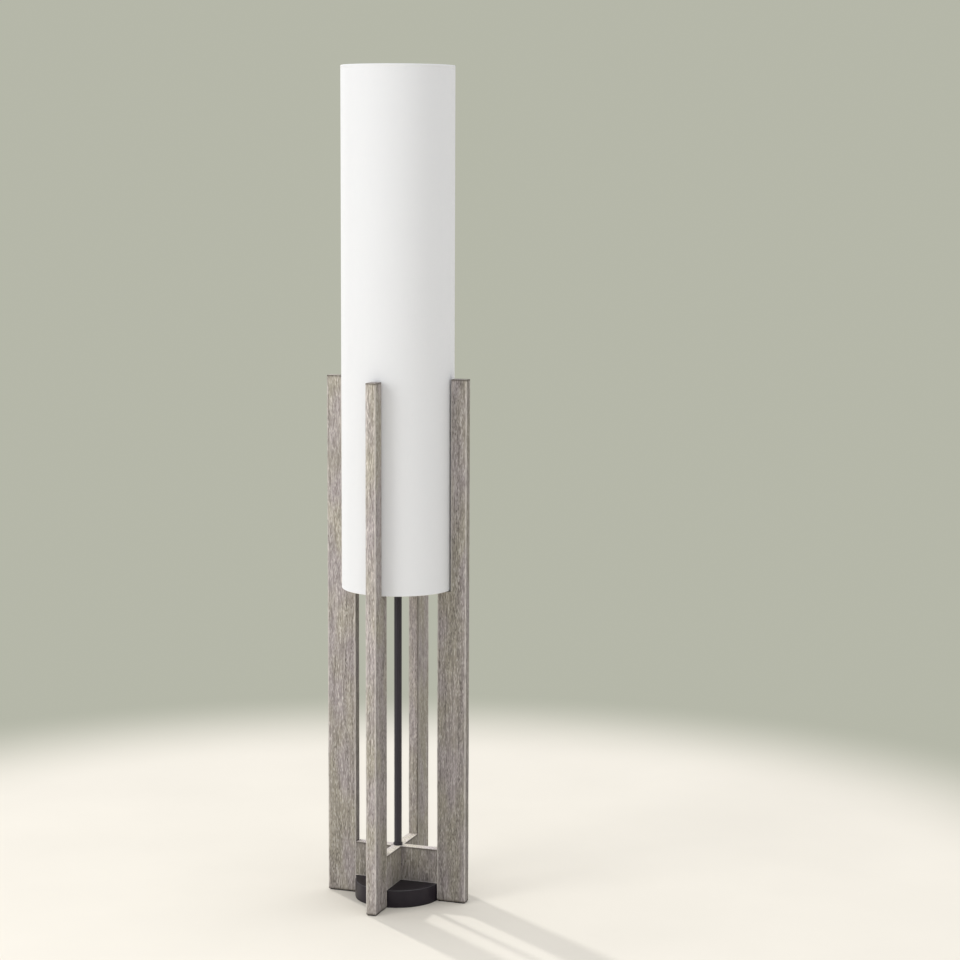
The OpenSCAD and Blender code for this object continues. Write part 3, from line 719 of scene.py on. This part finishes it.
# A rail seen from its wide face: path A is its lower edge and path B its upper edge. The one
# with the lap steps in to the middle of the rail and out again; the other goes straight on.
def railRows(p, lapOnTop):
    half, lap, runs, walls = p["lapHalf"], p["lap"], p["runRows"], p["wallRows"]
    plain = p["low"] if lapOnTop else p["high"]
    face = p["high"] if lapOnTop else p["low"]
    sign = 1 if lapOnTop else -1
    run = np.linspace(-p["end"], -half - p["runStop"], runs)
    wall = np.linspace(face, lap, walls)
    floor = np.linspace(-half, half, p["lapRows"])
    lapped = [(x, face, 0, -sign, 0, sign) for x in run]
    lapped += [(-half, w, -1, 0, 1, 0) for w in wall]
    lapped += [(x, lap, 0, -sign, 0, sign) for x in floor]
    lapped += [(half, w, 1, 0, -1, 0) for w in wall[::-1]]
    lapped += [(-x, face, 0, -sign, 0, sign) for x in run[::-1]]
    lapped = pathArrays(lapped)
    straight = lapped["along"].copy()
    fan = np.linspace(-half - p["fan"][0], -half - p["fan"][1], walls)
    straight[runs:runs + walls] = fan
    straight[-runs - walls:-runs] = -fan[::-1]
    straight = pathArrays([(x, plain, 0, sign, 0, -sign) for x in straight])
    a, b = (straight, lapped) if lapOnTop else (lapped, straight)
    return withEnds(a, b, p["endSteps"], p["capSteps"])


# A rail lies along X before its quarter turns, with its height on Z
def railToWorld(points, turns):
    return quarterTurns(points[..., ::-1] * (1, -1, 1), turns)


railList = {
    "rail_side": {"turns": 0, "seed": 67, "lapOnTop": True, "shade": 0.91,
                  "shift": (4.41, 0.31, 0.9), "pith": (0.004, -0.060)},
    "rail_depth": {"turns": 1, "seed": 83, "lapOnTop": False, "shade": 0.91,
                   "shift": (5.57, 0.59, 1.7), "pith": (-0.006, 0.066)},
}
for node, own in railList.items():
    piece = boardPiece(node.replace("rail_", "") + "Rail", railRows(rails, own["lapOnTop"]),
                       {**rails, **own}, lambda points, n=own["turns"]: railToWorld(points, n),
                       boardWood(node, own))
    place(piece, "stand", "gray_wood", node)
print("rails made")


# Turns a profile of (radius, height) about the upright line through centre: x and y are centre
# plus radius times the cosine and sine of the turn. wave(turn, height) is added to the radius, as
# for a seam or a screw thread. With wrap, the map is wrap times the turn by the profile's length.
def revolve(name, profile, centre, angles, material, wave=None, wrap=None):
    profile = np.array(profile, float)
    radius, height, turn = profile[:, :1], profile[:, 1:], angles[None, :]
    if wave is not None:
        radius = radius + wave(turn, height)
    points = np.stack(np.broadcast_arrays(centre[0] + radius * np.cos(turn),
                                          centre[1] + radius * np.sin(turn),
                                          centre[2] + height), -1)
    cloth = None
    if wrap is not None:
        length = np.concatenate([[0], np.cumsum(np.hypot(*np.diff(profile, axis=0).T))])
        length = np.append(length, length[-1])
        closed = np.append(angles, angles[0] + 2 * math.pi)
        cloth = np.stack(np.broadcast_arrays(closed[None, :] * wrap, length[:, None]), -1)
    return gridPiece(name, points, material, loop=True, uv=cloth)


def evenAngles(columns):
    return np.linspace(0, 2 * math.pi, columns, endpoint=False)


shade = {
    "radius": 106 * mm, "bottom": 601.5 * mm, "top": 1575 * mm, "thick": 0.4 * mm,
    "hemInside": 100.25 * mm, "round": 1.8 * mm,
    "hemUp": 9 * mm, "hemDown": 3 * mm,      # how high the hem is inside and outside
    "proud": 0.16 * mm,          # the hem stands this much out from the body
    # where the hem steps in to the body: shares of proud, and heights from hemDown
    "step": ((0.0, -0.3 * mm), (0.5, 0.0), (1.0, 0.12 * mm)),
    "roundSteps": 6, "bodyStart": 4 * mm, "bodyRows": 44, "columns": 200,
}
lapSeam = {
    "at": math.radians(117), "width": 9 * mm, "rise": 0.22 * mm,
    "startRun": 1.2 * mm, "endRun": 3 * mm,
    "columns": (-1.0, -0.4, 0, 0.4, 1.0, 3, 5, 7, 9, 11),      # mm round from its first edge
}


# The cloth's profile goes down the bottom tuck, round the bottom roll, up the wall, round the
# top roll and down the top tuck, then back along the same line moved in by thick.
def shadeProfile(s):
    r, outer = s["round"], s["radius"]

    def rollPoints(z, up):
        turn = np.radians(np.linspace(0, 90, s["roundSteps"]))
        roll = [(s["hemInside"] + r - r * math.cos(t), r - r * math.sin(t)) for t in turn]
        roll += [(outer - r + r * math.sin(t), r - r * math.cos(t)) for t in turn]
        step = [(outer - share * s["proud"], s["hemDown"] + y) for share, y in s["step"]]
        return [(x, z + up * y) for x, y in [(s["hemInside"], s["hemUp"])] + roll + step]

    start = s["hemDown"] + s["bodyStart"]
    body = np.linspace(s["bottom"] + start, s["top"] - start, s["bodyRows"])
    outside = np.array(rollPoints(s["bottom"], 1) + [(outer - s["proud"], z) for z in body]
                       + rollPoints(s["top"], -1)[::-1])
    along = np.gradient(outside, axis=0)
    along /= np.linalg.norm(along, axis=1, keepdims=True)
    inside = outside + s["thick"] * np.stack([-along[:, 1], along[:, 0]], -1)
    return np.concatenate([outside, inside[::-1]])


# The lap seam: a strip as wide as width stands rise proud, crisp where it starts and soft where
# it ends. Rise is multiplied by how far the arc is into startRun and how far short of endRun.
def seamWave(turn, height):
    s = lapSeam
    arc = (turn - s["at"]) * shade["radius"]
    start = np.clip(arc / s["startRun"] + 0.5, 0, 1)
    end = np.clip((s["width"] - arc) / s["endRun"], 0, 1)
    return start * end * s["rise"] + 0 * height


seamAngles = lapSeam["at"] + np.array(lapSeam["columns"]) * mm / shade["radius"]
shadeAngles = np.concatenate([evenAngles(shade["columns"]), seamAngles])
shadeAngles = np.unique(np.round(shadeAngles, 6))
drum = revolve("clothShade", shadeProfile(shade), (0, 0, 0), shadeAngles, made["cloth"],
               wave=seamWave, wrap=shade["radius"])
place(drum, "shade", "white_fabric", "shade_fabric", "hem_top", "hem_bottom")
print("shade made")

bulbs = {
    "lower": {"x": -44 * mm, "bracket": 783.5 * mm},
    "upper": {"x": 44 * mm, "bracket": 1183.5 * mm},
}
bulbShape = {
    "tip": 18.6 * mm, "length": 108 * mm, "radius": 30 * mm, "neck": 12.4 * mm,
    "glassWall": 0.9 * mm, "inCap": 5 * mm, "swellRows": 22, "domeRows": 18, "columns": 72,
    "capLow": 21 * mm, "capHigh": 45 * mm, "capRadius": 13 * mm,
    # the cap's outline in mm: foot and inside as radius and height over capLow, and the rim as
    # the distance in from capRadius and down from capHigh
    "capFoot": ((9.0, 0.0), (10.6, 0.5)), "capInside": ((12.45, 2.2), (9.0, 0.5)),
    "capRim": ((0.1, 2.2), (0.05, 0.0), (0.5, 0.0)),
    "wallStart": 2 * mm, "ringStart": 2.4 * mm, "ringEnd": 3 * mm, "ringRows": 44,
    "pitch": 3.6 * mm, "thread": 0.28 * mm,
    "threadStart": 3 * mm, "threadEnd": 4 * mm, "threadFade": 2 * mm,
}


# The glass starts straight in its cap, swells as u*u*(3 - 2u) up to the globe and ends in a
# quarter circle; the same line moved inwards by the wall closes it.
def glassProfile(b):
    globe = b["tip"] + b["length"] - b["radius"]
    u = np.linspace(0, 1, b["swellRows"])
    up = np.linspace(0, math.pi / 2, b["domeRows"])[1:]

    def line(inwards):
        neck, radius = b["neck"] - inwards, b["radius"] - inwards
        low = np.array([(neck, b["capHigh"] - b["inCap"])])
        rising = np.stack([neck + (radius - neck) * u * u * (3 - 2 * u),
                           b["capHigh"] + (globe - b["capHigh"]) * u], -1)
        dome = np.stack([radius * np.cos(up), globe + radius * np.sin(up)], -1)
        return np.concatenate([low, rising, dome])

    return np.concatenate([line(0), line(b["glassWall"])[::-1]])


# The cap's outline goes up from its foot along the thread's root to the rim, and down inside
def capProfile(b):
    low, high, root = b["capLow"], b["capHigh"], b["capRadius"] - b["thread"]
    rings = np.linspace(low + b["ringStart"], high - b["ringEnd"], b["ringRows"])
    foot = [(r * mm, low + z * mm) for r, z in b["capFoot"]]
    wall = [(root, z) for z in (low + b["wallStart"], *rings)]
    rim = [(b["capRadius"] - r * mm, high - z * mm) for r, z in b["capRim"]]
    inside = [(r * mm, low + z * mm) for r, z in b["capInside"]]
    return np.array(foot + wall + rim + inside)


# The screw thread is a sine of height over pitch less the turn, faded out at both ends
def threadWave(turn, height):
    b = bulbShape
    low, high = b["capLow"] + b["threadStart"], b["capHigh"] - b["threadEnd"]
    fade = np.clip((height - low) / b["threadFade"], 0, 1)
    fade = fade * np.clip((high - height) / b["threadFade"], 0, 1)
    return b["thread"] * np.sin(2 * math.pi * height / b["pitch"] - turn) * fade


for side, at in bulbs.items():
    centre, turns = (at["x"], 0, at["bracket"]), evenAngles(bulbShape["columns"])
    glass = revolve(side + "BulbGlass", glassProfile(bulbShape), centre, turns,
                    made["softWhiteGlass"])
    place(glass, "bulb_" + side, "frosted_glass", "bulb_glass_" + side)
    cap = revolve(side + "BulbCap", capProfile(bulbShape), centre, turns, made["bareAluminium"],
                  wave=threadWave)
    place(cap, "bulb_" + side, "bare_aluminium", "bulb_cap_" + side)
print("bulbs made")

finialShape = {
    "at": 1552 * mm, "bore": 3.25 * mm, "boreTop": 13 * mm, "boreCone": 0.6 * mm,
    # outlines in mm, as radius and height
    "foot": ((7.0, 0.0), (7.0, 1.2), (6.6, 1.7), (5.4, 2.0), (5.2, 2.5), (4.4, 3.2), (4.1, 4.0),
             (4.3, 4.9), (5.3, 5.4), (5.4, 5.9), (5.0, 6.3)),
    "button": ((2.3, 19.55), (2.3, 20.1), (1.5, 20.42), (0, 20.5)),
    "ball": 7.4 * mm, "ballAt": 12.4 * mm, "ballArc": (-48, 74), "ballRows": 20, "columns": 64,
}


# A turned knob: the foot, the cove and its bead, a ball, which is an arc of a circle, and a
# small button on top
def finialProfile(f):
    foot, button = [[(r * mm, z * mm) for r, z in f[part]] for part in ("foot", "button")]
    turn = np.radians(np.linspace(*f["ballArc"], f["ballRows"]))
    ball = [(f["ball"] * math.cos(t), f["ballAt"] + f["ball"] * math.sin(t)) for t in turn]
    bore = [(0, f["boreTop"]), (f["bore"], f["boreTop"] - f["boreCone"]), (f["bore"], 0)]
    return np.array(foot + ball + button + bore)


finial = revolve("turnedFinial", finialProfile(finialShape), (0, 0, finialShape["at"]),
                 evenAngles(finialShape["columns"]), made["blackPowderCoat"])
place(finial, "finial", "black_metal", "finial")
print("finial made")

# the solids that stay as they are, each with its finish
kept = {
    "rail_dowels": "paleDowel", "post_glides": "blackFelt", "base_cover": "rimHighlightCoat",
    "base_weight": "castWeight", "base_felt": "blackFelt", "inlet_bushing": "blackNylon",
    "base_nipple": "zincSteel", "base_washer": "zincSteel", "base_nut": "zincSteel",
    "pole_collar": "blackPoleCoat", "pole_lower": "blackPoleCoat", "pole_middle": "blackPoleCoat",
    "pole_upper": "blackPoleCoat", "joint_nipples": "zincSteel", "pole_seat": "blackPoleCoat",
    "bracket_lower": "zincSteel", "bracket_upper": "zincSteel", "socket_nipples": "zincSteel",
    "socket_nuts": "zincSteel", "socket_lower": "blackPhenolic", "socket_upper": "blackPhenolic",
    "screw_shell_lower": "brassSheet", "screw_shell_upper": "brassSheet",
    "contact_lower": "brassSheet", "contact_upper": "brassSheet", "shade_backing": "whiteStyrene",
    "ring_top": "whiteWire", "ring_bottom": "whiteWire", "shade_spider": "whiteWire",
    "bulb_tip_lower": "blackGlass", "bulb_tip_upper": "blackGlass",
}
for node, finish in kept.items():
    mesh = cad[node].data
    mesh.materials.clear()
    mesh.materials.append(made[finish])
print("solids finished")

studio = {
    "ambient": (0.735, 0.747, 0.780),
    "backdrop": (0.465, 0.475, 0.395), "floor": (0.790, 0.746, 0.656),
    "fadeStart": 1.12, "fadeEnd": 1.80,
    "floorRadius": 9.0, "floorRows": 24, "floorColumns": 64, "cloudScale": 3.0, "cloudShade": 0.97,
    # azimuth and height in degrees, strength as light on a face square to it, width in degrees
    "suns": {"window": (143, 40, 0.33, 2.5), "top": (40, 85, 0.16, 26)},
    "key": {"place": (-2.48, -3.38, 2.20), "aim": (0, 0, 0.9), "size": (1.8, 3.6), "level": 0.34},
}


# 1 for a ray that the camera, a mirror or glass sends straight there, and 0 for any other
def seenDirectly(tree):
    rays = put(tree, "LightPath").outputs
    seen = calc(tree, "MAXIMUM", rays["Is Camera Ray"], rays["Is Glossy Ray"])
    return calc(tree, "MAXIMUM", seen, rays["Is Transmission Ray"])


# A flat disc: radius grows with the square of the row, so that rings are close near the lamp.
# Seen directly, it fades into the backdrop from fadeStart to fadeEnd.
def makeFloor(s):
    rows = np.linspace(0, 1, s["floorRows"])[:, None] ** 2 * s["floorRadius"]
    turn = evenAngles(s["floorColumns"])[None, :]
    points = np.stack([rows * np.cos(turn), rows * np.sin(turn), 0 * rows * turn], -1)
    material = bpy.data.materials.new("paleFloor")
    material.use_nodes = True
    tree = material.node_tree
    tree.nodes.clear()
    point = put(tree, "TexCoord").outputs["Object"]      # its length is the distance from the lamp
    away = put(tree, "VectorMath", {0: point}, operation="LENGTH").outputs["Value"]
    cloud = rise(tree, noise(tree, point, s["cloudScale"], 3.0), *midNoise)
    color = blendColor(tree, cloud, (*s["floor"], 1),
                       (*[c * s["cloudShade"] for c in s["floor"]], 1))
    plain = put(tree, "BsdfDiffuse", {"Color": color})
    glow = put(tree, "Emission", {"Color": (*s["backdrop"], 1), "Strength": 1.0})
    fade = put(tree, "MapRange", {"Value": away, "From Min": s["fadeStart"],
                                  "From Max": s["fadeEnd"]}, interpolation_type="SMOOTHSTEP")
    mix = put(tree, "MixShader", {0: times(tree, seenDirectly(tree), fade.outputs[0]),
                                  1: plain.outputs[0], 2: glow.outputs[0]})
    put(tree, "OutputMaterial", {"Surface": mix.outputs[0]})
    gridPiece("paleFloor", points, material)


def makeWorld(s):
    world = bpy.data.worlds.new("studio")
    bpy.context.scene.world = world
    world.use_nodes = True
    tree = world.node_tree
    tree.nodes.clear()
    color = blendColor(tree, seenDirectly(tree), (*s["ambient"], 1), (*s["backdrop"], 1))
    sky = put(tree, "Background", {"Color": color, "Strength": 1.0})
    put(tree, "OutputWorld", {"Surface": sky.outputs[0]})


# Adds a lamp that shines from the side that towards points to
def hang(name, lamp, towards):
    piece = bpy.data.objects.new(name, lamp)
    piece.rotation_euler = towards.to_track_quat("Z", "Y").to_euler()
    bpy.context.scene.collection.objects.link(piece)
    return piece


def makeLamps(s):
    for name, (azimuth, height, level, width) in s["suns"].items():
        sun = bpy.data.lights.new(name, "SUN")
        sun.energy = level * math.pi
        sun.angle = math.radians(width)
        around, up = math.radians(azimuth), math.radians(height)
        hang(name, sun, Vector((math.cos(around) * math.cos(up), math.sin(around) * math.cos(up),
                                math.sin(up))))
    key = s["key"]
    towards = Vector(key["place"]) - Vector(key["aim"])
    soft = bpy.data.lights.new("key", "AREA")
    soft.shape = "RECTANGLE"
    soft.size, soft.size_y = key["size"]
    # its power spreads over a half sphere: a face at its aim gets power / (pi * distance squared)
    soft.energy = key["level"] * math.pi * math.pi * towards.length_squared
    piece = hang("key", soft, towards)
    piece.location = key["place"]
    piece.visible_camera = False


makeFloor(studio)
makeWorld(studio)
makeLamps(studio)
print("studio lit")
